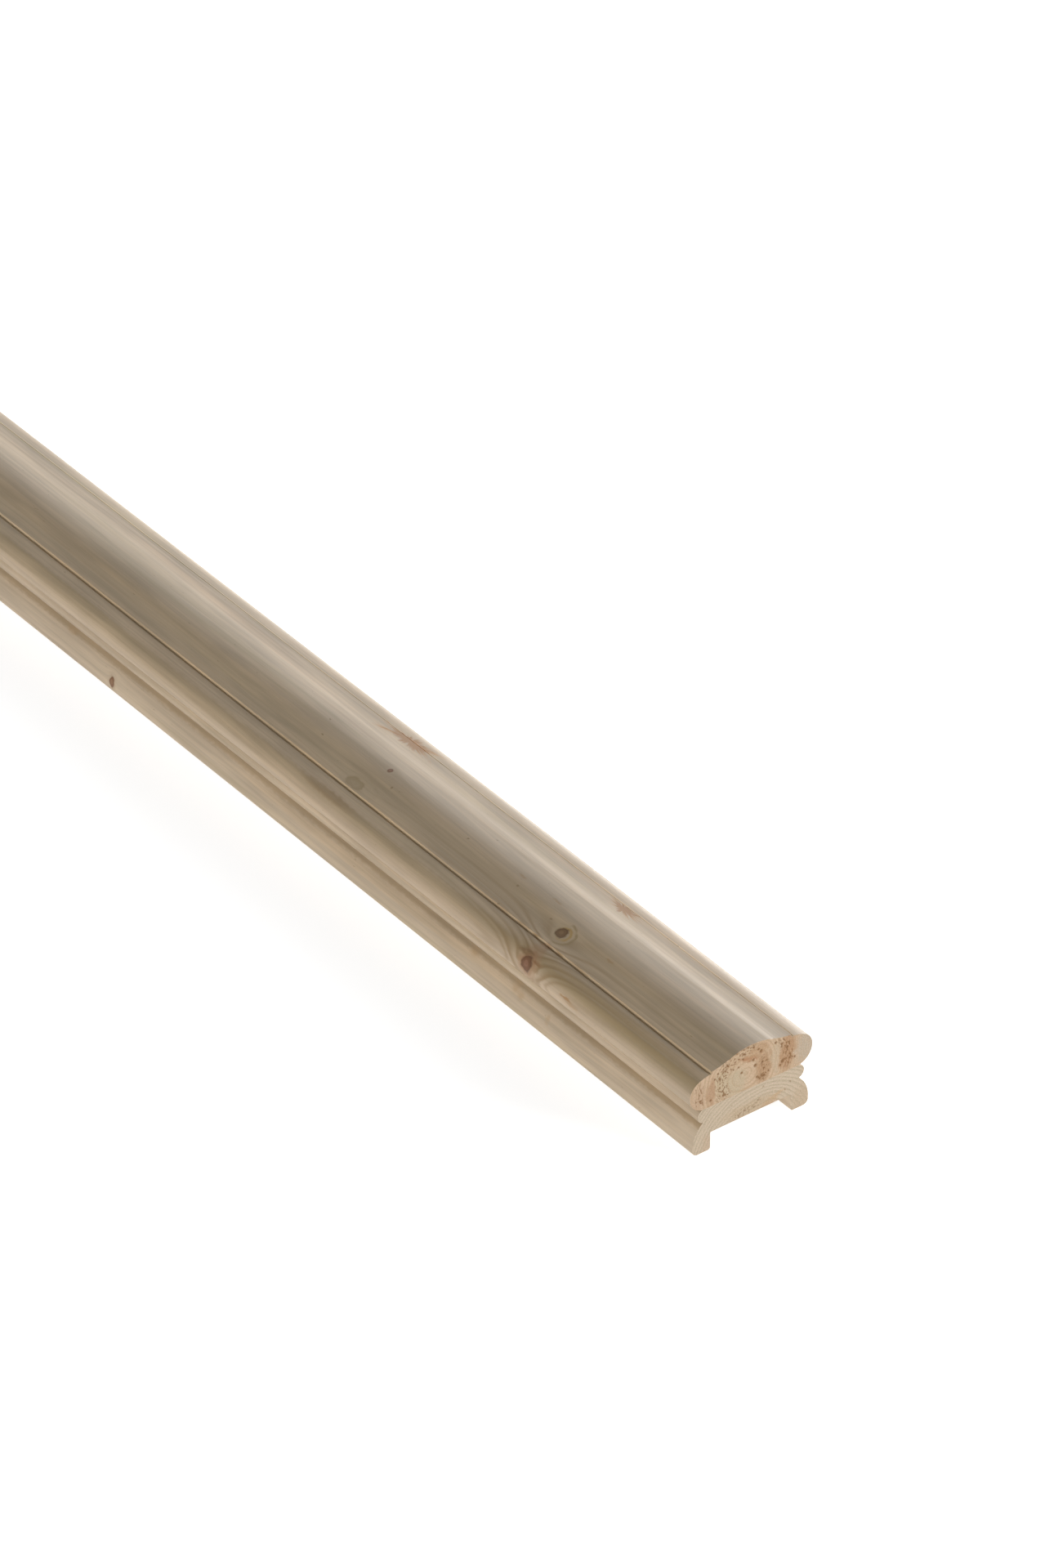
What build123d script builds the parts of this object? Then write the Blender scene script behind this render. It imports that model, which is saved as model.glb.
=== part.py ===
from build123d import *
import os

# Handrail: a moulded softwood rail with a groove below for square spindles, lying on its feet.
# It is two boards glued face to face, level with the notch between the nosing and the bead.
# Sizes are in millimetres. X runs across the rail, Y along it and Z up, and the origin is
# the middle of the surface that the feet rest on.

# Overall sizes
rail_length = 2400.0
rail_width = 62.0  # over the nosings, where the rail is widest

# Heights of the mouldings, stacked from the feet up
foot_side_height = 4.0  # upright side of the foot, below its quarter round
ovolo_height = 11.0  # quarter round that rises from the foot
bead_height = 6.5
nosing_rise = 7.9  # from the glue line to the widest point
shoulder_rise = 6.5  # from the widest point to the shoulder
lip_rise = 1.65  # from the shoulder to the lip of the quirk
dome_edge_rise = 1.05  # the dome's edge stands above the lip
dome_rise = 4.4  # from the dome's edge to its crown

# How far each moulding stands out of the notches above and below the bead, on each side
nosing_projection = 6.6
bead_projection = 2.6
foot_projection = 5.0

# Shoulder, where the nosing's round turns flatter towards the quirk
shoulder_set_back = 4.1  # in from the nosing's face

# Quirk, the small round groove between the nosing's lip and the dome
quirk_width = 1.2
quirk_depth = 0.75

# Dome, with a round crown and a hollow flank on each side of it
dome_width = 40.4
crown_width = 20.0
crown_radius = 29.0

# Groove that takes the spindles, which are 41 mm square
groove_width = 41.0
groove_depth = 8.5
groove_corner_radius = 0.5

# Rounded corners of the feet
foot_outer_radius = 2.5
foot_inner_radius = 1.2

# Levels worked out from the heights
notch_level = foot_side_height + ovolo_height
glue_level = notch_level + bead_height
nosing_level = glue_level + nosing_rise
shoulder_level = nosing_level + shoulder_rise
lip_level = shoulder_level + lip_rise
dome_edge_level = lip_level + dome_edge_rise
top_level = dome_edge_level + dome_rise

# Distances from the middle of the rail, worked out from the widths and projections
nosing_reach = rail_width / 2
shoulder_reach = nosing_reach - shoulder_set_back
waist_reach = nosing_reach - nosing_projection
bead_reach = waist_reach + bead_projection
foot_reach = waist_reach + foot_projection
groove_reach = groove_width / 2
crown_reach = crown_width / 2
dome_reach = dome_width / 2
lip_reach = dome_reach + quirk_width


def glue_line():
    """The line where the two boards meet, from notch to notch."""
    return Line((waist_reach, glue_level), (-waist_reach, glue_level))


def board_section(side, across):
    """The face inside one side's edges, their mirror image and the edges that span both."""
    outline = Curve() + side + mirror(Curve() + side, about=Plane.YZ) + across
    return make_face(outline.edges())


def nosing_side():
    """The nosing's round below and above its widest point, and the shoulder up to the lip."""
    widest = (nosing_reach, nosing_level)
    shoulder = (shoulder_reach, shoulder_level)
    below = TangentArc(widest, (waist_reach, glue_level), tangent=(0, -1))
    above = TangentArc(widest, shoulder, tangent=(0, 1))
    shoulder_round = TangentArc(shoulder, (lip_reach, lip_level), tangent=above % 1)
    return [below, above, shoulder_round]


def dome_side():
    """The quirk, the dome's hollow flank and half of its round crown."""
    lip = Vector(lip_reach, lip_level)
    dome_edge = Vector(dome_reach, dome_edge_level)
    quirk_floor = (lip + dome_edge) / 2 - Vector(0, quirk_depth)
    quirk = ThreePointArc(lip, quirk_floor, dome_edge)
    crown_fall = crown_radius - (crown_radius**2 - crown_reach**2) ** 0.5
    crown_end = (crown_reach, top_level - crown_fall)
    crown = TangentArc((0, top_level), crown_end, tangent=(1, 0))
    flank = TangentArc(crown_end, dome_edge, tangent=crown % 1)
    return [quirk, flank, crown]


def upper_section():
    """Nosings, quirks and dome, above the glue line."""
    return board_section(nosing_side() + dome_side(), glue_line())


def lower_section():
    """Beads, quarter rounds and feet, below the glue line, with the groove between the feet."""
    bead_middle = (bead_reach, (glue_level + notch_level) / 2)
    lower_notch = (waist_reach, notch_level)
    foot_side = (foot_reach, foot_side_height)
    bead = ThreePointArc((waist_reach, glue_level), bead_middle, lower_notch)
    ovolo = TangentArc(foot_side, lower_notch, tangent=(0, 1))
    right_foot = [
        foot_side,
        (foot_reach, 0),
        (groove_reach, 0),
        (groove_reach, groove_depth),
    ]
    left_foot = [(-reach, level) for reach, level in reversed(right_foot)]
    corners = [foot_outer_radius, foot_inner_radius, groove_corner_radius]
    underside = FilletPolyline(*right_foot, *left_foot, radius=corners + corners[::-1])
    return board_section([bead, ovolo], [underside, glue_line()])


def moulded_board(section):
    """A board of this section, sawn square at both ends."""
    return extrude(Plane.XZ * section, amount=rail_length / 2, both=True)


os.makedirs("parts", exist_ok=True)
export_step(moulded_board(upper_section()), "parts/upper_board.step")
export_step(moulded_board(lower_section()), "parts/lower_board.step")
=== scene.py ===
import math
import random

import bpy
from mathutils import Matrix, Vector


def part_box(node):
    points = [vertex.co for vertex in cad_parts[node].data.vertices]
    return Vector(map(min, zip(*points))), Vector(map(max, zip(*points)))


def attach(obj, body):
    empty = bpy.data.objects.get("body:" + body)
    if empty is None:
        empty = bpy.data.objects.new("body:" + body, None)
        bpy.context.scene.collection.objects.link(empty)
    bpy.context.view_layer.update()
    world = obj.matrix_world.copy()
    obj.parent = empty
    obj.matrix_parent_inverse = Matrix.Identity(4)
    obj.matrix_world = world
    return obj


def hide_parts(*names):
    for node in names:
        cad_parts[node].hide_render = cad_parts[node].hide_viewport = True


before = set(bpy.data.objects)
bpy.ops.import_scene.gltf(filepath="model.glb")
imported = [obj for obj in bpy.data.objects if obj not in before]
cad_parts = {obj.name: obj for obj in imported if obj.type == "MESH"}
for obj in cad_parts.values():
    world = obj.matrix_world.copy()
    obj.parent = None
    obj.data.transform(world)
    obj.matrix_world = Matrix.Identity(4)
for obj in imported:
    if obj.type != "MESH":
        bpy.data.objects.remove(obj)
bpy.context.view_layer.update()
mm = 0.001  # sizes of the timber are written in millimetres

boardLow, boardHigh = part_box("upper_board")
frontEnd = boardLow.y
backEnd = boardHigh.y
glueLevel = boardLow.z / mm
topLevel = boardHigh.z / mm
nosingReach = boardHigh.x / mm

upperBoard = {
    "node": "upper_board",
    "slot": "upper_pine",
    # mouldings, from the glue line up
    "nosingRise": 7.9,  # to the widest point
    "shoulderRise": 6.5,
    "lipRise": 1.65,
    "domeEdgeRise": 1.05,
    "nosingProjection": 6.6,
    "shoulderSetBack": 4.1,
    "quirkWidth": 1.2,
    "quirkDepth": 0.75,
    "domeWidth": 40.4,
    "crownWidth": 20.0,
    "crownRadius": 29.0,
    # timber
    "ringCentre": (-2.0, 29.0),  # x and z of the pith at the front end
    "ringsPerMm": 0.34,
    "ringsTighten": 0.004,  # rings get narrower away from the pith
    "unevenRings": 1.3,
    "outerRings": (21.0, 0.5),  # past this x they're much closer, by so many more a millimetre
    "wander": 5.0,  # how far the pith strays along the board
    "lines": 0.30,  # how strong the rings show on planed faces
    "earlyWood": (0.605, 0.476, 0.332),
    "lateWood": (0.450, 0.320, 0.180),
    "heartWood": (0.610, 0.450, 0.295),
    "coolWood": (0.520, 0.410, 0.240),
    "flameColour": (0.290, 0.175, 0.070),
    # painted light in the quirks: tints that lighten the shade on their floor and walls, more in the right
    # one, where they paint a light line
    "quirks": [
        {"middle": (-20.84, 37.62), "floor": (1.25, 1.42, 1.60), "wall": (1.03, 1.02, 1.00)},
        {"middle": (20.84, 37.62), "floor": (1.40, 1.50, 1.60), "wall": (1.45, 1.55, 1.60)},
    ],
    # knots: x, distance from the front end and z on the surface, half their width,
    # how many times longer than wide, and how far the pale wood round them leans along the rail
    "knots": [
        {"kind": "dark", "at": (-12.7, 107.9, 40.1), "radius": 2.3, "stretch": 1.3, "lean": -1.4},
        {"kind": "red", "at": (-30.4, 108.3, 32.2), "radius": 3.4, "stretch": 0.95, "lean": -0.5},
        {"kind": "feather", "at": (17.2, 106.6, 38.6), "radius": 1.4, "stretch": 3.6},
        {"kind": "pin", "at": (-3.1, 238.6, 42.8), "radius": 1.1, "stretch": 1.1},
        {"kind": "pale", "at": (-16.6, 244.2, 38.8), "radius": 2.0, "stretch": 2.9, "lean": -1.0},
        {"kind": "feather", "at": (19.8, 255.8, 38.3), "radius": 2.3, "stretch": 4.6},
        {"kind": "dark", "at": (7.5, 741.0, 42.0), "radius": 3.1, "stretch": 1.5, "lean": 1.3},
        {"kind": "red", "at": (30.6, 748.0, 31.5), "radius": 3.0, "stretch": 1.0, "lean": 0.5},
        {"kind": "pin", "at": (-11.0, 1302.0, 40.8), "radius": 1.6, "stretch": 1.3},
        {"kind": "red", "at": (-30.2, 1309.0, 32.8), "radius": 3.2, "stretch": 0.9, "lean": -0.5},
        {"kind": "feather", "at": (17.5, 1298.0, 38.6), "radius": 1.7, "stretch": 4.0},
        {"kind": "dark", "at": (-4.0, 1864.0, 42.7), "radius": 2.7, "stretch": 1.4, "lean": -1.2},
        {"kind": "pale", "at": (13.0, 1872.0, 40.0), "radius": 2.4, "stretch": 1.9, "lean": 1.0},
    ],
    # broad bands along the rail, then smaller marks: middle and half sizes, across and along
    "bands": [
        {"look": "heart", "at": (-15.0, 240.0, 39.5), "size": (10.0, 1100.0)},
        {"look": "dusk", "at": (-28.8, 240.0, 34.2), "size": (3.8, 1100.0)},
        {"look": "peach", "at": (-31.5, 240.0, 29.5), "size": (5.0, 1100.0)},
    ],
    "marks": [
        {"look": "speck", "at": (-1.3, 283.9, 43.0), "size": (0.55, 0.8)},
        {"look": "speck", "at": (-9.2, 278.3, 41.5), "size": (0.5, 0.9)},
        {"look": "speck", "at": (-9.0, 229.8, 41.6), "size": (0.6, 0.8)},
        {"look": "speck", "at": (-14.2, 233.0, 39.5), "size": (0.5, 0.8)},
        {"look": "speck", "at": (-5.8, 180.7, 42.4), "size": (0.55, 0.9)},
        {"look": "speck", "at": (2.8, 172.0, 42.9), "size": (0.5, 0.8)},
        {"look": "speck", "at": (-8.7, 142.8, 41.7), "size": (0.6, 0.9)},
        {"look": "speck", "at": (-11.2, 117.3, 40.7), "size": (0.5, 0.7)},
        {"look": "speck", "at": (-20.0, 141.1, 38.6), "size": (0.5, 0.8)},
        {"look": "amber", "at": (-3.9, 145.8, 42.7), "size": (0.7, 3.0)},
        {"look": "amber", "at": (-3.3, 123.3, 42.8), "size": (0.8, 3.5)},
        {"look": "amber", "at": (-9.9, 79.9, 41.3), "size": (0.8, 3.0)},
        {"look": "resin", "at": (-30.8, 81.5, 30.8), "size": (0.9, 4.5)},
        {"look": "amber", "at": (-31.0, 77.5, 29.8), "size": (1.3, 5.5)},
        {"look": "olive", "at": (-26.6, 62.0, 36.0), "size": (4.6, 95.0)},
        {"look": "tan", "at": (-27.5, 249.0, 35.5), "size": (2.6, 22.0)},
    ],
    "knotMarks": [  # these lie over the knots
        {"look": "smoke", "at": (-28.0, 112.8, 35.1), "size": (1.6, 4.6)},
        {"look": "smoke", "at": (-27.2, 109.6, 35.7), "size": (1.0, 3.4)},
        {"look": "smear", "at": (-28.9, 103.4, 34.5), "size": (1.1, 4.2)},
    ],
    # sawn ends
    "endEarly": (0.615, 0.450, 0.305),
    "endLate": (0.480, 0.325, 0.195),
    "endLines": 0.55,
    "ringCells": 11.0,  # how short the cells along the rings are
    "pitColour": (0.240, 0.125, 0.050),
    # soft stains on the ends: middle, half sizes and some with a turn in degrees
    "endStains": [
        {"at": (-8.0, 27.5), "size": (6.5, 7.0), "colour": (0.54, 0.44, 0.30), "amount": 0.85},
        {"at": (-14.8, 31.0), "size": (3.6, 8.5), "turn": 12, "colour": (0.56, 0.45, 0.30), "amount": 0.8},
        {"at": (-20.3, 28.0), "size": (2.0, 8.5), "turn": 8, "colour": (0.455, 0.275, 0.16), "amount": 0.8},
        {"at": (-26.5, 27.5), "size": (4.6, 6.5), "colour": (0.54, 0.375, 0.25), "amount": 0.7},
        {"at": (-6.0, 38.8), "size": (10.0, 3.4), "turn": -14, "colour": (0.56, 0.40, 0.255), "amount": 0.8},
        {"at": (-1.2, 36.3), "size": (5.2, 1.6), "turn": 20, "colour": (0.43, 0.225, 0.115), "amount": 0.9},
        {"at": (6.0, 28.5), "size": (4.4, 8.0), "colour": (0.43, 0.255, 0.135), "amount": 0.8},
        {"at": (3.5, 38.5), "size": (5.5, 3.4), "turn": -20, "colour": (0.47, 0.29, 0.16), "amount": 0.7},
        {"at": (12.4, 30.0), "size": (2.4, 9.0), "colour": (0.56, 0.435, 0.30), "amount": 0.8},
        {"at": (18.2, 31.0), "size": (4.0, 10.0), "turn": 4, "colour": (0.44, 0.25, 0.13), "amount": 0.85},
        {"at": (27.4, 30.0), "size": (5.2, 9.0), "colour": (0.535, 0.44, 0.335), "amount": 0.95},
    ],
    # torn grain on the ends: x, z and size of the largest pits, and smaller ones strewn along the rings
    "pits": [
        (-1.6, 41.9, 0.75), (1.1, 40.9, 0.80), (5.0, 37.3, 1.10), (3.6, 38.8, 0.80),
        (-3.4, 39.2, 0.70), (-4.1, 37.2, 0.75), (1.1, 34.6, 0.95), (2.1, 31.4, 1.15),
        (-16.8, 35.8, 0.70), (-15.8, 32.7, 0.95), (-18.4, 33.6, 0.70), (-13.1, 35.4, 0.75),
        (-9.0, 34.2, 0.65), (-6.5, 34.2, 0.70), (-4.8, 30.8, 0.90), (-14.6, 26.0, 0.75),
        (-13.9, 23.8, 0.95), (-25.6, 26.1, 0.90), (-20.4, 24.2, 0.85), (6.5, 24.5, 1.00),
        (8.9, 25.8, 0.70), (6.5, 28.3, 0.75), (3.0, 25.3, 0.80), (16.0, 27.2, 1.15),
        (14.8, 25.6, 0.80), (15.5, 36.0, 0.80), (18.4, 33.3, 0.85), (12.3, 38.0, 0.85),
        (22.2, 26.6, 0.75), (19.6, 29.4, 0.70),
    ],
    "pitArcs": [
        {"radius": 13.2, "spread": 7.0, "sweep": (75, 215), "count": 20, "size": 0.50},
        {"radius": 9.0, "spread": 4.0, "sweep": (-45, 35), "count": 8, "size": 0.50},
        {"radius": 20.5, "spread": 5.5, "sweep": (-14, 36), "count": 12, "size": 0.50},
        {"radius": 24.5, "spread": 4.0, "sweep": (170, 198), "count": 5, "size": 0.50},
    ],
}

lowerBoard = {
    "node": "lower_board",
    "slot": "lower_pine",
    # mouldings, from the feet up
    "footSide": 4.0,
    "ovoloHeight": 11.0,
    "beadProjection": 2.6,
    "footProjection": 5.0,
    "grooveWidth": 41.0,
    "grooveDepth": 8.5,
    "grooveCorner": 0.5,
    "outerCorner": 2.5,
    "innerCorner": 1.2,
    # timber
    "ringCentre": (3.0, -12.0),
    "ringsPerMm": 0.55,
    "ringsTighten": 0.0,
    "unevenRings": 1.2,
    "outerRings": (40.0, 0.0),
    "wander": 3.0,
    "lines": 0.15,
    "quirks": [],
    "earlyWood": (0.590, 0.469, 0.333),
    "lateWood": (0.490, 0.365, 0.225),
    "heartWood": (0.590, 0.440, 0.280),
    "coolWood": (0.530, 0.415, 0.260),
    "flameColour": (0.330, 0.205, 0.095),
    "bands": [
        # painted shade in the notch where the ovolo meets the bead, all along the rail
        {"look": "notch", "at": (-24.8, 300.0, 15.0), "size": (3.6, 2000.0)},
    ],
    "knots": [
        {"kind": "pin", "at": (-29.2, 406.9, 5.6), "radius": 2.8, "stretch": 0.6},
        {"kind": "dark", "at": (29.2, 1015.0, 7.5), "radius": 2.6, "stretch": 1.4, "lean": 1.2},
        {"kind": "pin", "at": (-29.0, 1690.0, 8.0), "radius": 2.2, "stretch": 1.2},
    ],
    "marks": [
        {"look": "stain", "at": (-26.5, 148.5, 13.0), "size": (2.8, 4.0)},
        {"look": "stain", "at": (-26.8, 119.5, 12.3), "size": (4.0, 3.2)},
        {"look": "stain", "at": (-28.0, 115.5, 10.3), "size": (3.0, 2.6)},
        {"look": "stain", "at": (-26.0, 440.8, 13.4), "size": (2.4, 5.0)},
        {"look": "stain", "at": (-28.4, 97.0, 9.5), "size": (3.0, 1.8)},
    ],
    "knotMarks": [],
    # sawn ends
    "endEarly": (0.610, 0.495, 0.365),
    "endLate": (0.430, 0.345, 0.235),
    "endLines": 0.45,
    "ringCells": 18.0,
    "pitColour": (0.360, 0.250, 0.150),
    "endStains": [
        {"at": (0.0, 11.5), "size": (15.0, 3.6), "colour": (0.56, 0.42, 0.275), "amount": 0.7},
        {"at": (11.0, 11.0), "size": (6.5, 1.7), "turn": -18, "colour": (0.545, 0.365, 0.215), "amount": 0.7},
        {"at": (25.5, 4.5), "size": (4.4, 6.5), "colour": (0.54, 0.41, 0.28), "amount": 0.75},
        {"at": (-22.5, 3.0), "size": (2.4, 5.5), "colour": (0.56, 0.41, 0.285), "amount": 0.6},
    ],
    "pits": [
        (6.3, 18.9, 0.50), (20.0, 15.2, 0.50), (17.6, 12.3, 0.55), (-0.9, 9.4, 0.55),
        (-6.4, 10.0, 0.50), (-9.6, 16.6, 0.45), (11.3, 16.2, 0.40), (-3.0, 12.4, 0.45),
    ],
    "pitArcs": [
        {"radius": 24.0, "spread": 4.0, "sweep": (85, 128), "count": 9, "size": 0.42},
    ],
}

mesh = {
    "arcStep": 0.35,  # longest facet on a round stretch, in millimetres
    "arcFacets": 4,  # fewest on a round stretch
    "lineStep": 0.82,  # about how long the facets on a straight stretch are
    "lengths": 20,  # stretches along the rail
    "smoothAngle": 32,
    "facingEnd": 0.9,  # how squarely a face looks along the rail to count as an end
    "touching": 0.01,  # millimetres
    "doubles": 0.001,
    "endGrid": 0.5,  # cells that the torn grain on the ends is pressed into
    "tearDepth": 0.4,
    "tearWall": 1.5,  # how steep the pits are
    "tearSizes": (0.7, 1.25),  # smallest and largest of the strewn pits, against their arc's size
    "tearSeed": 11,
}


# Torn grain: both sawn ends get a fine grid, and the pits are pressed into it
def gridEnds(piece, board):
    for face in piece.data.polygons:
        if abs(face.normal.y) > mesh["facingEnd"]:
            face.material_index = 1
    piece.active_material_index = 1
    low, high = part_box(board["node"])
    bpy.ops.object.mode_set(mode="EDIT")
    for axis, normal in (("x", (1, 0, 0)), ("z", (0, 0, 1))):
        start, end = getattr(low, axis), getattr(high, axis)
        cuts = int((end - start) / (mesh["endGrid"] * mm))
        for cut in range(1, cuts + 1):
            bpy.ops.mesh.select_all(action="DESELECT")
            bpy.ops.object.material_slot_select()
            place = Vector(normal) * (start + cut * mesh["endGrid"] * mm)
            bpy.ops.mesh.bisect(plane_co=place, plane_no=normal)
    bpy.ops.object.mode_set(mode="OBJECT")


def strewPits(board, draw):
    pits = [(Vector((x, z)), size) for x, z, size in board["pits"]]
    pith = Vector(board["ringCentre"])
    for arc in board["pitArcs"]:
        for _ in range(arc["count"]):
            turn = math.radians(draw.uniform(*arc["sweep"]))
            reach = arc["radius"] + draw.uniform(-0.5, 0.5) * arc["spread"]
            place = pith + Vector((math.cos(turn), math.sin(turn))) * reach
            pits.append((place, arc["size"] * draw.uniform(*mesh["tearSizes"])))
    return pits


def pitDepth(vertex, end, pits):
    if abs(vertex.co.y - end) > mesh["touching"] * mm:
        return 0.0
    spot = Vector((vertex.co.x, vertex.co.z)) / mm
    depth = max(1 - ((spot - middle).length / size) ** 2 for middle, size in pits)
    return min(1.0, max(0.0, depth * mesh["tearWall"]))


def tearEnds(piece, board):
    draw = random.Random(mesh["tearSeed"])
    torn = [0.0] * len(piece.data.vertices)
    for end, inward in ((frontEnd, 1), (backEnd, -1)):
        pits = strewPits(board, draw)
        depths = [pitDepth(vertex, end, pits) for vertex in piece.data.vertices]
        torn = [max(pair) for pair in zip(torn, depths)]
        group = piece.vertex_groups.new(name="torn")
        for index, depth in enumerate(depths):
            if depth > 0:
                group.add([index], depth, "REPLACE")
        dent = piece.modifiers.new("dent", "DISPLACE")
        dent.direction = "Y"
        dent.mid_level = 0
        dent.strength = inward * mesh["tearDepth"] * mm
        dent.vertex_group = group.name
        bpy.ops.object.modifier_apply(modifier=dent.name)
        piece.vertex_groups.clear()
    piece.data.attributes.new("torn", "FLOAT", "POINT").data.foreach_set("value", torn)


# Outline of a moulding: a pen draws it round the section at the front end
def startPen(name, x, z):
    bpy.ops.object.select_all(action="DESELECT")
    bpy.ops.mesh.primitive_plane_add(size=mm, location=(x * mm, frontEnd, z * mm))
    board = bpy.context.object
    board.name = name
    bpy.ops.object.transform_apply(location=True, rotation=True, scale=True)
    bpy.ops.object.mode_set(mode="EDIT")
    bpy.ops.mesh.select_all(action="SELECT")
    bpy.ops.mesh.merge(type="CENTER")
    return board, Vector((x, z))


def lineTo(start, end):
    pieces = max(1, round((end - start).length / mesh["lineStep"]))
    step = (end - start) / pieces
    for _ in range(pieces):
        move = (step.x * mm, 0, step.y * mm)
        bpy.ops.mesh.extrude_region_move(TRANSFORM_OT_translate={"value": move})
    return end


def arcTo(start, end, centre):
    turn = (start - centre).angle_signed(end - centre)  # clockwise is positive
    radius = (start - centre).length
    steps = max(mesh["arcFacets"], math.ceil(abs(turn) * radius / mesh["arcStep"]))
    bpy.ops.mesh.spin(
        steps=steps,
        angle=-turn,
        center=(centre.x * mm, frontEnd, centre.y * mm),
        axis=(0, 1, 0),
    )
    return end


def centreFromTangent(point, tangent, end):
    # the arc leaves the point along the tangent and passes through the end
    normal = Vector((-tangent.y, tangent.x)).normalized()
    chord = end - point
    return point + normal * chord.length_squared / (2 * chord.dot(normal))


def centreFromThree(a, b, c):
    # where the perpendicular bisectors of two chords cross
    p, q = b - a, c - a
    twist = 2 * (p.x * q.y - p.y * q.x)
    x = (q.y * p.length_squared - p.y * q.length_squared) / twist
    z = (p.x * q.length_squared - q.x * p.length_squared) / twist
    return a + Vector((x, z))


def finishBoard(piece, board):
    # the half outline is mirrored, filled and drawn out to the full length
    bpy.ops.object.mode_set(mode="OBJECT")
    mirror = piece.modifiers.new("otherHalf", "MIRROR")
    mirror.use_axis[0] = True
    mirror.merge_threshold = mesh["touching"] * mm
    bpy.ops.object.modifier_apply(modifier="otherHalf")
    bpy.ops.object.mode_set(mode="EDIT")
    bpy.ops.mesh.select_all(action="SELECT")
    bpy.ops.mesh.remove_doubles(threshold=mesh["doubles"] * mm)
    bpy.ops.mesh.edge_face_add()
    stretch = (backEnd - frontEnd) / mesh["lengths"]
    for _ in range(mesh["lengths"]):
        bpy.ops.mesh.extrude_region_move(TRANSFORM_OT_translate={"value": (0, stretch, 0)})
    bpy.ops.mesh.select_all(action="SELECT")
    bpy.ops.mesh.normals_make_consistent(inside=False)
    bpy.ops.object.mode_set(mode="OBJECT")
    for _ in ("planed", "sawn"):
        piece.data.materials.append(None)
    gridEnds(piece, board)
    tearEnds(piece, board)
    bpy.ops.object.shade_smooth_by_angle(angle=math.radians(mesh["smoothAngle"]))
    return piece


def makeUpperBoard(size):
    waist = Vector((nosingReach - size["nosingProjection"], glueLevel))
    widest = Vector((nosingReach, glueLevel + size["nosingRise"]))
    shoulder = widest + Vector((-size["shoulderSetBack"], size["shoulderRise"]))
    domeEdge = Vector((size["domeWidth"] / 2, shoulder.y + size["lipRise"] + size["domeEdgeRise"]))
    lip = domeEdge + Vector((size["quirkWidth"], -size["domeEdgeRise"]))
    quirkFloor = (lip + domeEdge) / 2 - Vector((0, size["quirkDepth"]))
    crownReach = size["crownWidth"] / 2
    crownCentre = Vector((0, topLevel - size["crownRadius"]))
    crownEnd = crownCentre + Vector((crownReach, math.sqrt(size["crownRadius"] ** 2 - crownReach**2)))
    top = Vector((0, topLevel))
    lowerRound = centreFromTangent(widest, Vector((0, -1)), waist)
    upperRound = centreFromTangent(widest, Vector((0, 1)), shoulder)
    shoulderSpoke = shoulder - upperRound
    shoulderRound = centreFromTangent(shoulder, Vector((-shoulderSpoke.y, shoulderSpoke.x)), lip)
    crownSpoke = crownEnd - crownCentre
    flank = centreFromTangent(crownEnd, Vector((crownSpoke.y, -crownSpoke.x)), domeEdge)

    piece, pen = startPen("upperBoard", 0, glueLevel)
    pen = lineTo(pen, waist)
    pen = arcTo(pen, widest, lowerRound)
    pen = arcTo(pen, shoulder, upperRound)
    pen = arcTo(pen, lip, shoulderRound)
    pen = arcTo(pen, domeEdge, centreFromThree(lip, quirkFloor, domeEdge))
    pen = arcTo(pen, crownEnd, flank)
    arcTo(pen, top, crownCentre)
    return finishBoard(piece, size)


def makeLowerBoard(size):
    waistReach = nosingReach - upperBoard["nosingProjection"]
    foot = waistReach + size["footProjection"]
    groove = size["grooveWidth"] / 2
    notch = Vector((waistReach, size["footSide"] + size["ovoloHeight"]))
    waist = Vector((waistReach, glueLevel))
    bead = Vector((waistReach + size["beadProjection"], (notch.y + waist.y) / 2))
    footSide = Vector((foot, size["footSide"]))
    outer, inner, ceiling = size["outerCorner"], size["innerCorner"], size["grooveCorner"]
    depth = size["grooveDepth"]

    piece, pen = startPen("lowerBoard", 0, depth)
    pen = lineTo(pen, Vector((groove - ceiling, depth)))
    pen = arcTo(pen, Vector((groove, depth - ceiling)), Vector((groove - ceiling, depth - ceiling)))
    pen = lineTo(pen, Vector((groove, inner)))
    pen = arcTo(pen, Vector((groove + inner, 0)), Vector((groove + inner, inner)))
    pen = lineTo(pen, Vector((foot - outer, 0)))
    pen = arcTo(pen, Vector((foot, outer)), Vector((foot - outer, outer)))
    pen = lineTo(pen, footSide)
    pen = arcTo(pen, notch, centreFromTangent(footSide, Vector((0, 1)), notch))
    pen = arcTo(pen, waist, centreFromThree(notch, bead, waist))
    lineTo(pen, Vector((0, glueLevel)))
    return finishBoard(piece, size)


# Small helpers for material nodes
def plug(tree, value, socket):
    if isinstance(value, bpy.types.NodeSocket):
        tree.links.new(value, socket)
    else:
        socket.default_value = value


def calc(tree, operation, *values):
    node = tree.nodes.new("ShaderNodeMath")
    node.operation = operation
    for value, socket in zip(values, node.inputs):
        plug(tree, value, socket)
    return node.outputs[0]


def add(tree, first, second):
    return calc(tree, "ADD", first, second)


def subtract(tree, first, second):
    return calc(tree, "SUBTRACT", first, second)


def larger(tree, first, second):
    return calc(tree, "MAXIMUM", first, second)


def product(tree, first, *others):
    for other in others:
        first = calc(tree, "MULTIPLY", first, other)
    return first


def vectorCalc(tree, operation, *values):
    node = tree.nodes.new("ShaderNodeVectorMath")
    node.operation = operation
    for value, socket in zip(values, node.inputs):
        plug(tree, value, socket)
    return node.outputs["Value" if operation in ("DOT_PRODUCT", "LENGTH") else "Vector"]


def moved(tree, vector, move):
    return vectorCalc(tree, "ADD", vector, move)


def placeFrom(tree, vector, start):
    return vectorCalc(tree, "SUBTRACT", vector, start)


def stretched(tree, vector, factors):
    return vectorCalc(tree, "MULTIPLY", vector, factors)


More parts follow.
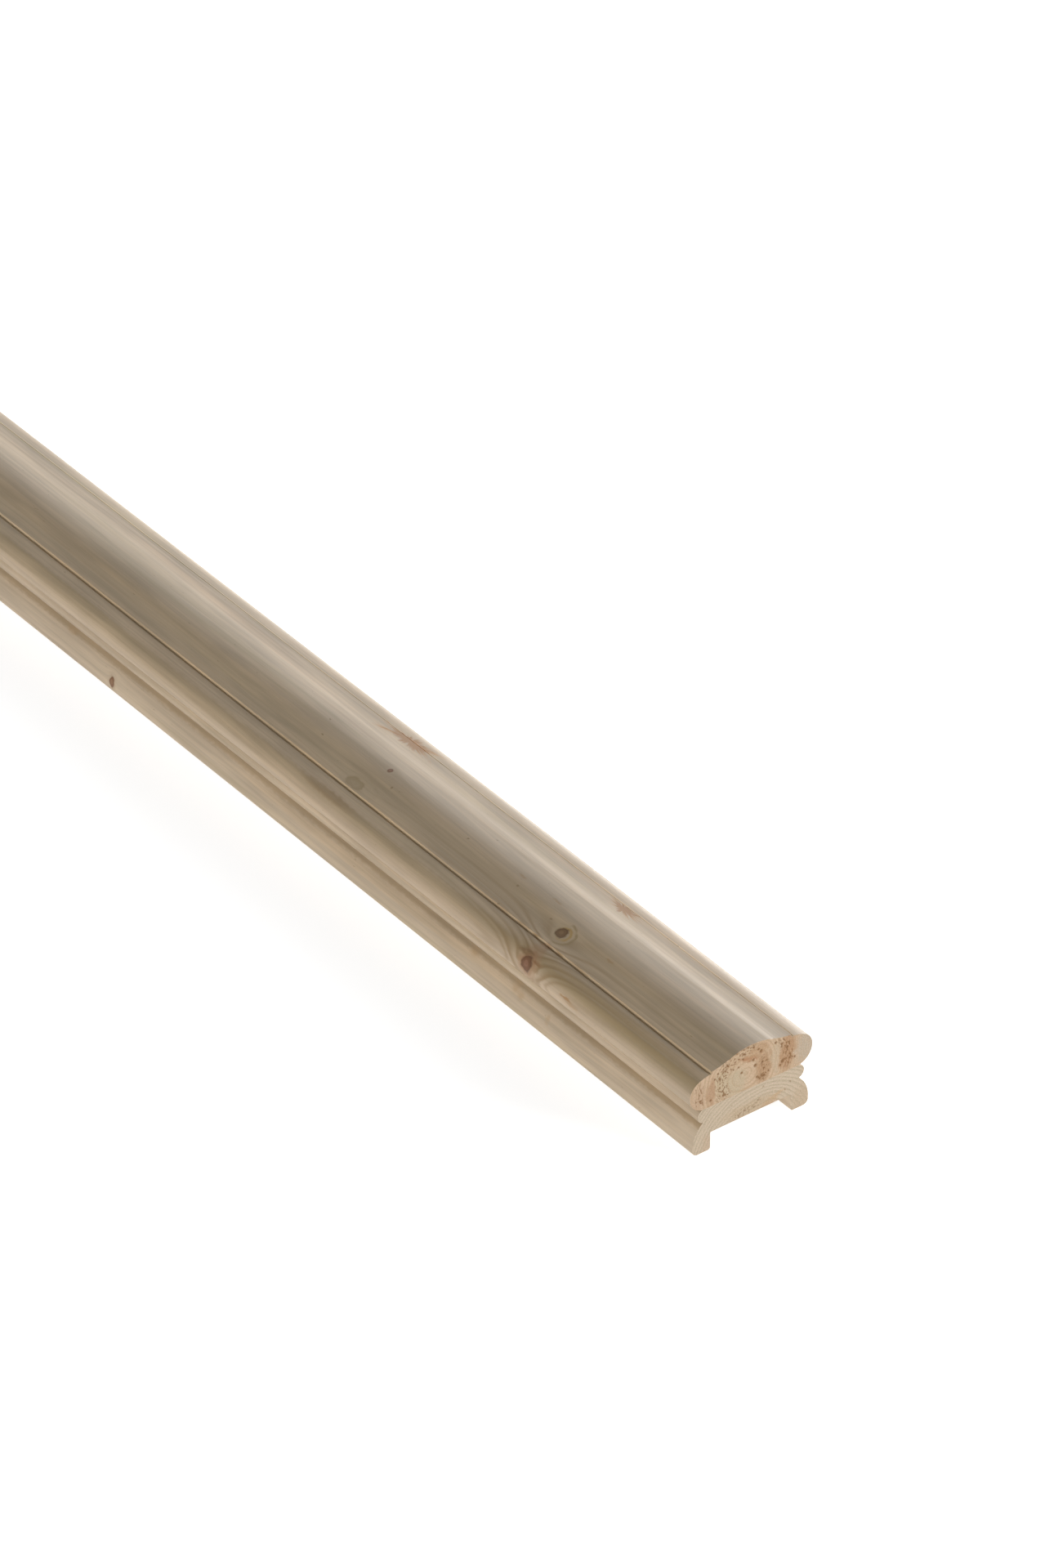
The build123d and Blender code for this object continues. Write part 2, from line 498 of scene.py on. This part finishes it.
def lengthOf(tree, vector):
    return vectorCalc(tree, "LENGTH", vector)


def dot(tree, first, second):
    return vectorCalc(tree, "DOT_PRODUCT", first, second)


def scaled(tree, vector, factor):
    node = tree.nodes.new("ShaderNodeVectorMath")
    node.operation = "SCALE"
    plug(tree, vector, node.inputs["Vector"])
    plug(tree, factor, node.inputs["Scale"])
    return node.outputs["Vector"]


def joinXYZ(tree, axis, value):
    node = tree.nodes.new("ShaderNodeCombineXYZ")
    plug(tree, value, node.inputs[axis])
    return node.outputs["Vector"]


def noise(tree, vector, across, along, detail, roughness=0.5, output="Fac"):
    node = tree.nodes.new("ShaderNodeTexNoise")
    plug(tree, stretched(tree, vector, (across, along, across)), node.inputs["Vector"])
    node.inputs["Scale"].default_value = 1.0
    node.inputs["Detail"].default_value = detail
    node.inputs["Roughness"].default_value = roughness
    return node.outputs[output]


def sway(tree, vector, reach, across, along, detail):
    # pushes places about by up to its reach
    push = noise(tree, vector, across, along, detail, output="Color")
    return scaled(tree, placeFrom(tree, push, (0.5, 0.5, 0.5)), reach * 2)


def ease(tree, value, low, high, start=0.0, end=1.0):
    # turns smoothly from start to end while the value goes from low to high
    node = tree.nodes.new("ShaderNodeMapRange")
    node.interpolation_type = "SMOOTHSTEP"
    plug(tree, value, node.inputs["Value"])
    for name, limit in (("From Min", low), ("From Max", high), ("To Min", start), ("To Max", end)):
        node.inputs[name].default_value = limit
    return node.outputs["Result"]


def band(tree, value, rise, fall, soft):
    return product(tree, ease(tree, value, rise, rise + soft), ease(tree, value, fall, fall - soft))


def blendColour(tree, factor, base, over, mode="MIX"):
    node = tree.nodes.new("ShaderNodeMix")
    node.data_type = "RGBA"
    node.blend_type = mode
    node.clamp_factor = True
    plug(tree, factor, node.inputs["Factor"])
    # a colour mix has its colour sockets after those for numbers and vectors
    for value, socket in ((base, node.inputs[6]), (over, node.inputs[7])):
        plug(tree, value if isinstance(value, bpy.types.NodeSocket) else (*value, 1.0), socket)
    return node.outputs[2]


# Grain: waves in a millimetre across and along the board, then detail and roughness
grain = {
    "ragged": (0.45, 0.35, 2.0, 0.4),  # edges of knots
    "summers": (0.45, 0.0, 1.0),  # wide and narrow rings
    "ringFade": (0.11, 0.0035, 2.0),  # where ring lines come and go
    "drift": (0.13, 0.0032, 2.0, 0.55),  # warmer and cooler stretches
    "streak": (0.60, 0.0095, 3.0, 0.55),
    "fibre": (2.8, 0.050, 2.0, 0.6),
    "mottle": (0.16, 0.022, 2.0),
    "fleck": (1.3, 0.30, 1.0),
    "knotFade": (0.16, 0.16, 1.0),
    "barbs": (1.0, 1.0, 2.0, 0.6),
    "endPatches": (0.55, 1.0, 2.0, 0.6),  # where the rings are strong on the ends
    "endFibres": (1.0, 1.0, 2.0, 0.6),
    "endFuzz": (1.7, 1.0, 3.0, 0.75),
    "endCells": (1.0, 1.0, 1.0),
}

# Sways: reach in millimetres, then waves in a millimetre across and along, and detail
sways = {
    "markEdges": (0.8, 0.6, 0.35, 1.0),
    "ripple": (1.5, 0.08, 0.007, 2.0),
    "endStains": (2.4, 0.28, 0.28, 3.0),
}
pithSway = (0.010, 0.0030, 1.0)  # its reach is each board's own

# How a pattern shades the wood: its low and high, then how dark and how light it makes the colour
shades = {
    "streak": (0.25, 0.75, 0.90, 1.09),
    "fibre": (0.25, 0.75, 0.96, 1.04),
    "mottle": (0.3, 0.7, 0.91, 1.09),
    "endFuzz": (0.28, 0.72, 0.80, 1.14),
}

# A year in the wood, from 0 to 1: late wood darkens slowly and stops at once, flames are softer
year = {
    "lateRise": (0.30, 0.92),
    "lateFall": (1.0, 0.93),
    "flameRise": (0.15, 0.65),
    "flameFall": (1.0, 0.7),
}

finish = {
    "planed": {"gloss": 0.42, "rough": (0.47, 0.39), "bumpDepth": 0.05, "bump": 0.3},
    "sawn": {"gloss": 0.25, "rough": 0.8, "bumpDepth": 0.22, "bump": 0.4},
}

knotLooks = {
    "dark": {
        "core": (0.150, 0.075, 0.015),
        "heart": (0.250, 0.150, 0.062),
        "rim": (0.110, 0.050, 0.010),
        "collar": (0.480, 0.310, 0.115, 0.9),  # the last number is its strength
        "halo": (0.570, 0.440, 0.275, 0.55),
        "outline": (0.350, 0.245, 0.120, 0.8),
        "bulge": 2.0,  # how far the rings rise over it
        "reach": 4.0,  # how far the grain swerves round it
        "flame": 0.0,
    },
    "red": {
        "core": (0.170, 0.070, 0.022),
        "heart": (0.270, 0.130, 0.070),
        "rim": (0.120, 0.048, 0.014),
        "collar": (0.400, 0.230, 0.120, 0.9),
        "halo": (0.440, 0.270, 0.150, 0.5),
        "outline": (0.330, 0.190, 0.085, 0.5),
        "bulge": 6.0,
        "reach": 6.3,
        "flame": 0.85,
    },
    "pin": {
        "core": (0.210, 0.090, 0.030),
        "heart": (0.300, 0.155, 0.070),
        "rim": (0.160, 0.065, 0.022),
        "collar": (0.430, 0.270, 0.150, 0.5),
        "halo": (0.560, 0.430, 0.290, 0.3),
        "outline": (0.400, 0.280, 0.160, 0.0),
        "bulge": 1.2,
        "reach": 2.5,
        "flame": 0.0,
    },
    "pale": {
        "core": (0.425, 0.315, 0.175),
        "heart": (0.460, 0.350, 0.205),
        "rim": (0.405, 0.295, 0.160),
        "collar": (0.465, 0.345, 0.200, 0.4),
        "halo": (0.520, 0.410, 0.260, 0.4),
        "outline": (0.400, 0.295, 0.165, 0.2),
        "bulge": 2.5,
        "reach": 5.0,
        "flame": 0.0,
    },
    "feather": {
        "core": (0.420, 0.205, 0.065),
        "barb": (0.560, 0.320, 0.130),
        "barbs": 5.2,  # how finely the strokes are split
        "bulge": 2.5,
        "reach": 5.0,
        "flame": 0.0,
    },
}

# Rings of colour round a knot: where each starts and ends, in the knot's radius, and how soft it is
knotRings = {
    "halo": (0.6, 2.2, 0.5),
    "outline": (1.65, 2.4, 0.35),
    "collar": (0.7, 1.55, 0.35),
}

markLooks = {
    "speck": {"colour": (0.280, 0.175, 0.085), "amount": 0.6, "soft": 0.65},
    "amber": {"colour": (0.430, 0.260, 0.120), "amount": 0.6, "soft": 0.8},
    "resin": {"colour": (0.400, 0.200, 0.065), "amount": 0.8, "soft": 0.69},
    "olive": {"colour": (0.455, 0.325, 0.165), "amount": 0.75, "soft": 0.8},
    "heart": {"colour": (0.515, 0.390, 0.235), "amount": 0.6, "soft": 0.65},
    "peach": {"colour": (0.530, 0.400, 0.265), "amount": 0.6, "soft": 0.65},
    "dusk": {"colour": (0.435, 0.320, 0.180), "amount": 0.6, "soft": 0.65},
    # painted shade for the notch where the ovolo meets the bead
    "notch": {"colour": (0.385, 0.270, 0.150), "amount": 0.75, "soft": 0.65},
    "smoke": {"colour": (0.235, 0.130, 0.050), "amount": 0.9, "soft": 0.95},
    "smear": {"colour": (0.260, 0.125, 0.045), "amount": 0.85, "soft": 0.95},
    "tan": {"colour": (0.330, 0.215, 0.110), "amount": 0.7, "soft": 0.8},
    "stain": {"colour": (0.470, 0.290, 0.135), "amount": 0.5, "soft": 1.0},
}
markEdge = 1.15  # a mark ends this far from its middle, in its own half sizes
softEnough = 0.7  # marks softer than this follow the grain
# how far the painted light in the quirks reaches
quirkEdge = (0.95, 0.83)  # the tint fades in between these distances from the middle of the quirk


def knotFigure(tree, place, board, knot):
    # a branch runs out from the pith: how far a place is from its middle line
    look, radius, stretch = knotLooks[knot["kind"]], knot["radius"], knot["stretch"]
    pithX, pithZ = board["ringCentre"]
    x, fromEnd, z = knot["at"]
    branch = Vector((x - pithX, 0, z - pithZ))
    direction = tuple(branch.normalized())
    arm = placeFrom(tree, place, (pithX, fromEnd + frontEnd / mm, pithZ))
    outward = dot(tree, arm, direction)
    side = placeFrom(tree, arm, scaled(tree, direction, outward))
    side = stretched(tree, side, (1, 1 / stretch, 1))
    distance = lengthOf(tree, side)
    outside = ease(tree, outward, branch.length * 0.3, branch.length * 0.6)  # none at the pith
    leaning = placeFrom(tree, side, (0, knot.get("lean", 0.0) / stretch, 0))  # pale wood to one side
    # the grain swerves over a longer stretch than the knot itself
    longWay = lengthOf(tree, stretched(tree, side, (1, 0.5, 1)))
    away = larger(tree, subtract(tree, longWay, radius), 0.0)
    closeness = calc(tree, "EXPONENT", calc(tree, "DIVIDE", away, -look["reach"]))
    return {
        "look": look,
        "radius": radius,
        "side": side,
        "distance": distance,
        "around": calc(tree, "DIVIDE", distance, radius),
        "closeness": product(tree, closeness, outside),
        "outside": outside,
        "leaning": calc(tree, "DIVIDE", lengthOf(tree, leaning), radius),
        "along": dot(tree, side, (0, 1, 0)),
    }


def paintFeather(tree, colour, figure, place, around):
    # strokes that leave the knot mostly along the grain
    look, outside = figure["look"], figure["outside"]
    compass = vectorCalc(tree, "NORMALIZE", figure["side"])
    rays = moved(tree, scaled(tree, compass, look["barbs"]), scaled(tree, place, 0.05))
    strokes = noise(tree, rays, *grain["barbs"])
    reach = subtract(tree, around, product(tree, subtract(tree, strokes, 0.5), 2.4))
    alongGrain = calc(tree, "ABSOLUTE", dot(tree, compass, (0, 1, 0)))
    barbs = product(tree, ease(tree, reach, 2.3, 1.0), ease(tree, strokes, 0.44, 0.60), outside)
    barbs = product(tree, barbs, ease(tree, alongGrain, 0.35, 0.8))
    colour = blendColour(tree, product(tree, barbs, 0.85), colour, look["barb"])
    core = product(tree, ease(tree, reach, 1.4, 0.7), outside)
    return blendColour(tree, product(tree, core, 0.9), colour, look["core"])


def paintKnot(tree, colour, figure, place, ragged):
    look, outside = figure["look"], figure["outside"]
    around = add(tree, figure["around"], product(tree, ragged, 0.8))
    if "barb" in look:
        return paintFeather(tree, colour, figure, place, around)
    fade = ease(tree, noise(tree, place, *grain["knotFade"]), 0.38, 0.58)
    wide = add(tree, figure["leaning"], product(tree, ragged, 0.5))
    for name, edges in knotRings.items():
        *tint, strength = look[name]
        mask = product(tree, band(tree, wide, *edges), outside, strength)
        if name == "outline":  # it shows on the side towards the front end
            mask = product(tree, mask, ease(tree, figure["along"], 0.5, -1.5))
        if name != "halo":
            mask = product(tree, mask, fade)
        colour = blendColour(tree, mask, colour, tint)
    circles = calc(tree, "SINE", product(tree, around, 17.0))
    rim = product(tree, band(tree, around, 0.5, 1.3, 0.35), 0.6)
    knotColour = blendColour(tree, ease(tree, around, 0.0, 0.85), look["heart"], look["core"])
    knotColour = blendColour(tree, ease(tree, circles, 0.0, 1.0, 0.0, 0.45), knotColour, look["rim"])
    knotColour = blendColour(tree, rim, knotColour, look["rim"])
    return blendColour(tree, product(tree, ease(tree, around, 1.2, 0.8), outside), colour, knotColour)


def paintMark(tree, colour, mark, rough, streak):
    look = markLooks[mark["look"]]
    x, fromEnd, z = mark["at"]
    across, along = mark["size"]
    offset = placeFrom(tree, rough, (x, fromEnd + frontEnd / mm, z))
    offset = stretched(tree, offset, (1 / across, 1 / along, 1 / across))
    mask = ease(tree, lengthOf(tree, offset), markEdge, markEdge - look["soft"])
    mask = product(tree, mask, look["amount"])
    if look["soft"] > softEnough:
        mask = product(tree, mask, ease(tree, streak, 0.25, 0.6, 0.35, 1.0))
    return blendColour(tree, mask, colour, look["colour"])


# painted light: lightens the shaded floor and walls of a quirk
def paintQuirkLight(tree, colour, quirk, place):
    x, z = quirk["middle"]
    across = stretched(tree, placeFrom(tree, place, (x, 0, z)), (1, 0, 1))
    inside = ease(tree, lengthOf(tree, across), *quirkEdge)
    climb = dot(tree, across, (0, 0, 1))
    tint = blendColour(tree, ease(tree, climb, -0.6, 0.0), quirk["floor"], quirk["wall"])
    return blendColour(tree, inside, colour, tint, "MULTIPLY")


def bendGrain(tree, place, board, figures):
    # the pith strays along the board, the rings are never quite round, and grain flows round knots
    bent = moved(tree, place, sway(tree, place, board["wander"], *pithSway))
    bent = moved(tree, bent, sway(tree, place, *sways["ripple"]))
    for figure in figures:
        inward = stretched(tree, vectorCalc(tree, "NORMALIZE", figure["side"]), (-1, 0, -1))
        push = product(tree, figure["closeness"], figure["radius"])
        push = calc(tree, "MINIMUM", push, figure["distance"])
        bent = moved(tree, bent, scaled(tree, inward, push))
    return bent


def yearRings(tree, bent, board, figures):
    # the time of year at a place, and a tone that each ring has for itself
    pithX, pithZ = board["ringCentre"]
    spoke = stretched(tree, placeFrom(tree, bent, (pithX, 0, pithZ)), (1, 0, 1))
    radius = lengthOf(tree, spoke)
    for figure in figures:
        radius = subtract(tree, radius, product(tree, figure["closeness"], figure["look"]["bulge"]))
    tighter = product(tree, radius, radius, board["ringsTighten"])
    rings = add(tree, product(tree, radius, board["ringsPerMm"]), tighter)
    fromX, closer = board["outerRings"]
    outer = larger(tree, subtract(tree, dot(tree, bent, (1, 0, 0)), fromX), 0.0)
    rings = add(tree, rings, product(tree, outer, closer))
    uneven = noise(tree, joinXYZ(tree, "X", radius), *grain["summers"])
    rings = add(tree, rings, product(tree, uneven, board["unevenRings"]))
    ringNumber = calc(tree, "FLOOR", rings)
    ringTone = tree.nodes.new("ShaderNodeTexWhiteNoise")
    ringTone.noise_dimensions = "1D"
    plug(tree, ringNumber, ringTone.inputs["W"])
    return subtract(tree, rings, ringNumber), ringTone.outputs["Value"]


def flameGlow(tree, figures):
    # the rings turn into dark flames near some knots
    flame = 0.0
    for figure in figures:
        if figure["look"]["flame"]:
            wide = calc(tree, "POWER", figure["closeness"], 0.45)
            flame = larger(tree, flame, product(tree, wide, figure["look"]["flame"]))
    return flame


def timber(board):
    # one node group holds what the planed faces and the sawn ends of a board share
    tree = bpy.data.node_groups.new(board["node"] + "Timber", "ShaderNodeTree")
    outputs = {"Planed": "Color", "Late": "Float", "Height": "Float", "Shine": "Float"}
    for name, kind in outputs.items():
        tree.interface.new_socket(name=name, in_out="OUTPUT", socket_type="NodeSocket" + kind)
    result = tree.nodes.new("NodeGroupOutput")
    coordinates = tree.nodes.new("ShaderNodeTexCoord")
    place = scaled(tree, coordinates.outputs["Object"], 1 / mm)
    ragged = subtract(tree, noise(tree, place, *grain["ragged"]), 0.5)
    rough = moved(tree, place, sway(tree, place, *sways["markEdges"]))
    figures = [knotFigure(tree, place, board, knot) for knot in board["knots"]]
    bent = bendGrain(tree, place, board, figures)
    season, tone = yearRings(tree, bent, board, figures)
    late = product(tree, ease(tree, season, *year["lateRise"]), ease(tree, season, *year["lateFall"]))
    rise, fall = ease(tree, season, *year["flameRise"]), ease(tree, season, *year["flameFall"])
    softLate = product(tree, rise, fall)

    # warmer and cooler stretches lie lowest, then the broad bands, and the ring lines that come and go
    drift = noise(tree, bent, *grain["drift"])
    warm, cool = ease(tree, drift, 0.50, 0.70, 0.0, 0.6), ease(tree, drift, 0.48, 0.28, 0.0, 0.55)
    colour = blendColour(tree, warm, board["earlyWood"], board["heartWood"])
    colour = blendColour(tree, cool, colour, board["coolWood"])
    streak = noise(tree, bent, *grain["streak"])
    for mark in board["bands"]:
        colour = paintMark(tree, colour, mark, rough, streak)
    fade = ease(tree, noise(tree, bent, *grain["ringFade"]), 0.36, 0.64, 0.25, 1.0)
    amount = product(tree, fade, ease(tree, tone, 0.0, 1.0, 0.5, 1.2), board["lines"])
    colour = blendColour(tree, product(tree, late, amount), colour, board["lateWood"])

    # streaks, fibres and mottle shade it, and flecks and marks lie on it
    fibre = noise(tree, bent, *grain["fibre"])
    light = product(tree, ease(tree, streak, *shades["streak"]), ease(tree, fibre, *shades["fibre"]))
    light = product(tree, light, ease(tree, noise(tree, bent, *grain["mottle"]), *shades["mottle"]))
    colour = scaled(tree, colour, light)
    fleck = ease(tree, noise(tree, bent, *grain["fleck"]), 0.76, 0.82)
    colour = blendColour(tree, product(tree, fleck, 0.5), colour, markLooks["speck"]["colour"])
    for mark in board["marks"]:
        colour = paintMark(tree, colour, mark, rough, streak)
    lick = product(tree, flameGlow(tree, figures), softLate, ease(tree, tone, 0.0, 1.0, 0.45, 1.1))
    colour = blendColour(tree, lick, colour, board["flameColour"])
    for figure in figures:
        colour = paintKnot(tree, colour, figure, place, ragged)
    for mark in board["knotMarks"]:
        colour = paintMark(tree, colour, mark, rough, streak)
    # painted light in the quirks
    for quirk in board["quirks"]:
        colour = paintQuirkLight(tree, colour, quirk, place)

    plug(tree, colour, result.inputs["Planed"])
    plug(tree, late, result.inputs["Late"])
    plug(tree, add(tree, product(tree, late, 0.30), product(tree, fibre, 0.70)), result.inputs["Height"])
    plug(tree, ease(tree, streak, 0.2, 0.8, *finish["planed"]["rough"]), result.inputs["Shine"])
    return tree


def newMaterial(name, group):
    material = bpy.data.materials.new(name)
    material.use_nodes = True
    tree = material.node_tree
    wood = tree.nodes.new("ShaderNodeGroup")
    wood.node_tree = group
    return material, tree, tree.nodes["Principled BSDF"], wood.outputs


def addBump(tree, shader, height, look):
    bump = tree.nodes.new("ShaderNodeBump")
    bump.inputs["Strength"].default_value = look["bump"]
    bump.inputs["Distance"].default_value = look["bumpDepth"] * mm
    plug(tree, height, bump.inputs["Height"])
    plug(tree, bump.outputs["Normal"], shader.inputs["Normal"])


def planedFace(board, group):
    look = finish["planed"]
    material, tree, shader, wood = newMaterial(board["node"] + "Planed", group)
    plug(tree, wood["Planed"], shader.inputs["Base Color"])
    plug(tree, wood["Shine"], shader.inputs["Roughness"])
    shader.inputs["Specular IOR Level"].default_value = look["gloss"]
    addBump(tree, shader, wood["Height"], look)
    return material


def paintStain(tree, colour, stain, rough, fibrous):
    x, z = stain["at"]
    wide, high = stain["size"]
    turned = Matrix.Rotation(math.radians(stain.get("turn", 0)), 3, "Y")
    offset = placeFrom(tree, stretched(tree, rough, (1, 0, 1)), (x, 0, z))
    across = dot(tree, offset, tuple(turned @ Vector((1 / wide, 0, 0))))
    upwards = dot(tree, offset, tuple(turned @ Vector((0, 0, 1 / high))))
    away = calc(tree, "SQRT", add(tree, product(tree, across, across), product(tree, upwards, upwards)))
    mask = product(tree, ease(tree, away, 1.3, 0.5), stain["amount"])
    mask = product(tree, mask, ease(tree, fibrous, 0.3, 0.65, 0.65, 1.1))
    return blendColour(tree, mask, colour, stain["colour"])


def tornDashes(tree, board, compass, radius, onRings):
    # the smallest pits are short dashes along the rings
    torn = 0.0
    for arc in board["pitArcs"]:
        start, stop = arc["sweep"]
        middle, half = math.radians((start + stop) / 2), (stop - start) / 2
        toward = dot(tree, compass, (math.cos(middle), 0, math.sin(middle)))
        outer, inner = math.radians(half + 8), math.radians(half - 8)
        within = ease(tree, toward, math.cos(outer), math.cos(inner))
        low, high = arc["radius"] - arc["spread"] / 2, arc["radius"] + arc["spread"] / 2
        within = product(tree, within, band(tree, radius, low - 0.5, high + 0.5, 1.5))
        torn = larger(tree, torn, within)
    cells = noise(tree, moved(tree, onRings, (9.0, 4.0, 2.0)), *grain["endCells"])
    return product(tree, ease(tree, cells, 0.555, 0.62), torn)


def sawnEnd(board, group):
    look = finish["sawn"]
    material, tree, shader, wood = newMaterial(board["node"] + "Sawn", group)
    coordinates = tree.nodes.new("ShaderNodeTexCoord")
    place = scaled(tree, coordinates.outputs["Object"], 1 / mm)
    flat = stretched(tree, place, (1, 0.02, 1))
    pithX, pithZ = board["ringCentre"]
    spoke = stretched(tree, placeFrom(tree, place, (pithX, 0, pithZ)), (1, 0, 1))
    radius = lengthOf(tree, spoke)
    compass = vectorCalc(tree, "NORMALIZE", spoke)
    # cells run along the rings: places on the compass stay close while the radius changes fast
    onRings = scaled(tree, compass, board["ringCells"])
    onRings = moved(tree, onRings, joinXYZ(tree, "Y", product(tree, radius, 1.25)))

    # rings in patches under the stains, and once more over them
    patches = noise(tree, flat, *grain["endPatches"])
    lines = product(tree, wood["Late"], ease(tree, patches, 0.3, 0.6, 0.45, 1.1), board["endLines"])
    colour = blendColour(tree, lines, board["endEarly"], board["endLate"])
    rough = moved(tree, flat, sway(tree, flat, *sways["endStains"]))
    fibrous = noise(tree, onRings, *grain["endFibres"])
    for stain in board["endStains"]:
        colour = paintStain(tree, colour, stain, rough, fibrous)
    colour = blendColour(tree, product(tree, lines, 0.6), colour, board["endLate"])
    fuzz = noise(tree, flat, *grain["endFuzz"])
    colour = scaled(tree, colour, ease(tree, fuzz, *shades["endFuzz"]))

    # pits are dark where the mesh is pressed in, with frayed edges
    pitted = tree.nodes.new("ShaderNodeAttribute")
    pitted.attribute_name = "torn"
    frayed = product(tree, subtract(tree, fuzz, 0.5), 1.6)
    depth = ease(tree, add(tree, pitted.outputs["Fac"], frayed), 0.25, 0.95)
    depth = product(tree, depth, ease(tree, pitted.outputs["Fac"], 0.0, 0.2))
    dashes = tornDashes(tree, board, compass, radius, onRings)
    depth = larger(tree, depth, product(tree, dashes, 0.9))
    colour = blendColour(tree, product(tree, depth, 0.85), colour, board["pitColour"])

    plug(tree, colour, shader.inputs["Base Color"])
    shader.inputs["Roughness"].default_value = look["rough"]
    shader.inputs["Specular IOR Level"].default_value = look["gloss"]
    height = subtract(tree, add(tree, fuzz, product(tree, wood["Late"], 0.1)), dashes)
    addBump(tree, shader, height, look)
    return material


def dress(board, piece):
    group = timber(board)
    piece.data.materials[0] = planedFace(board, group)
    piece.data.materials[1] = sawnEnd(board, group)
    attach(piece, "root")
    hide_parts(board["node"])


# Studio: a pale floor, soft light and the camera
studio = {
    "aim": (0.0, -1.0, 0.02),
    "distance": 14.0,
    # softboxes: degrees round from +X and up from the floor, size in metres, power in watts
    "lamps": {
        "leftStrip": {"round": 196, "up": 5.5, "size": (5.0, 2.3), "power": 1215},
        "frontSoftbox": {"round": 305, "up": 15, "size": (5.0, 4.0), "power": 1535},
        "rightStrip": {"round": 25, "up": 5.5, "size": (5.0, 2.3), "power": 1020},
        "backSoftbox": {"round": 50, "up": 30, "size": (5.0, 4.0), "power": 285},
    },
    "roomFill": 0.02,
    "floorSize": 40,
    "floorDrop": 0.05,  # millimetres under the feet
    "floorColour": (0.80, 0.80, 0.80),
    "floorRough": 0.9,
    "floorGlow": 0.84,  # what the camera sees on top of the lit floor
}

photoCamera = {
    "place": (-1.56128, -3.12740, 1.93003),
    "heading": 36.912,  # degrees to the right of +Y
    "pitch": 35.378,  # degrees down
    "roll": 0.140,
    "focalLength": 9607.95,  # in pixels of the photo
    "photoHeight": 1919,
    "sensor": 36.0,
}


def seenDirectly(tree):
    # what the camera sees straight, in a gloss or through glass
    rays = tree.nodes.new("ShaderNodeLightPath")
    seen = larger(tree, rays.outputs["Is Camera Ray"], rays.outputs["Is Glossy Ray"])
    return larger(tree, seen, rays.outputs["Is Transmission Ray"])


def makeFloor():
    bpy.ops.object.select_all(action="DESELECT")
    level = -studio["floorDrop"] * mm
    bpy.ops.mesh.primitive_plane_add(size=studio["floorSize"], location=(0, 0, level))
    floor = bpy.context.object
    floor.name = "floor"
    material = bpy.data.materials.new("floorSheet")
    material.use_nodes = True
    tree = material.node_tree
    shader = tree.nodes["Principled BSDF"]
    shader.inputs["Base Color"].default_value = (*studio["floorColour"], 1)
    shader.inputs["Roughness"].default_value = studio["floorRough"]
    shader.inputs["Emission Color"].default_value = (1, 1, 1, 1)
    glow = product(tree, seenDirectly(tree), studio["floorGlow"])
    plug(tree, glow, shader.inputs["Emission Strength"])
    floor.data.materials.append(material)


def makeLamp(name, settings):
    light = bpy.data.lights.new(name, "AREA")
    light.shape = "RECTANGLE"
    light.size, light.size_y = settings["size"]
    light.energy = settings["power"]
    lamp = bpy.data.objects.new(name, light)
    bpy.context.scene.collection.objects.link(lamp)
    turn, rise = math.radians(settings["round"]), math.radians(settings["up"])
    toLamp = Vector((math.cos(turn) * math.cos(rise), math.sin(turn) * math.cos(rise), math.sin(rise)))
    lamp.location = Vector(studio["aim"]) + toLamp * studio["distance"]
    lamp.rotation_euler = toLamp.to_track_quat("Z", "Y").to_euler()


def makeWorld():
    world = bpy.data.worlds.new("softRoom")
    world.use_nodes = True
    tree = world.node_tree
    background = tree.nodes["Background"]
    background.inputs["Color"].default_value = (1, 1, 1, 1)
    plug(tree, larger(tree, seenDirectly(tree), studio["roomFill"]), background.inputs["Strength"])
    bpy.context.scene.world = world


def makeCamera():
    view = photoCamera
    data = bpy.data.cameras.new("photoCamera")
    data.sensor_width = view["sensor"]
    data.lens = view["focalLength"] * view["sensor"] / view["photoHeight"]
    camera = bpy.data.objects.new("photoCamera", data)
    bpy.context.scene.collection.objects.link(camera)
    heading = Matrix.Rotation(-math.radians(view["heading"]), 4, "Z")
    tilt = Matrix.Rotation(math.radians(90 - view["pitch"]), 4, "X")
    roll = Matrix.Rotation(-math.radians(view["roll"]), 4, "Z")
    camera.matrix_world = Matrix.Translation(view["place"]) @ heading @ tilt @ roll
    bpy.context.scene.camera = camera


print("making the boards")
upperPiece = makeUpperBoard(upperBoard)
lowerPiece = makeLowerBoard(lowerBoard)

print("dressing the boards")
dress(upperBoard, upperPiece)
dress(lowerBoard, lowerPiece)

print("setting up the studio")
makeFloor()
for lampName, lampSettings in studio["lamps"].items():
    makeLamp(lampName, lampSettings)
makeWorld()
makeCamera()
bpy.context.scene.view_settings.view_transform = "Standard"
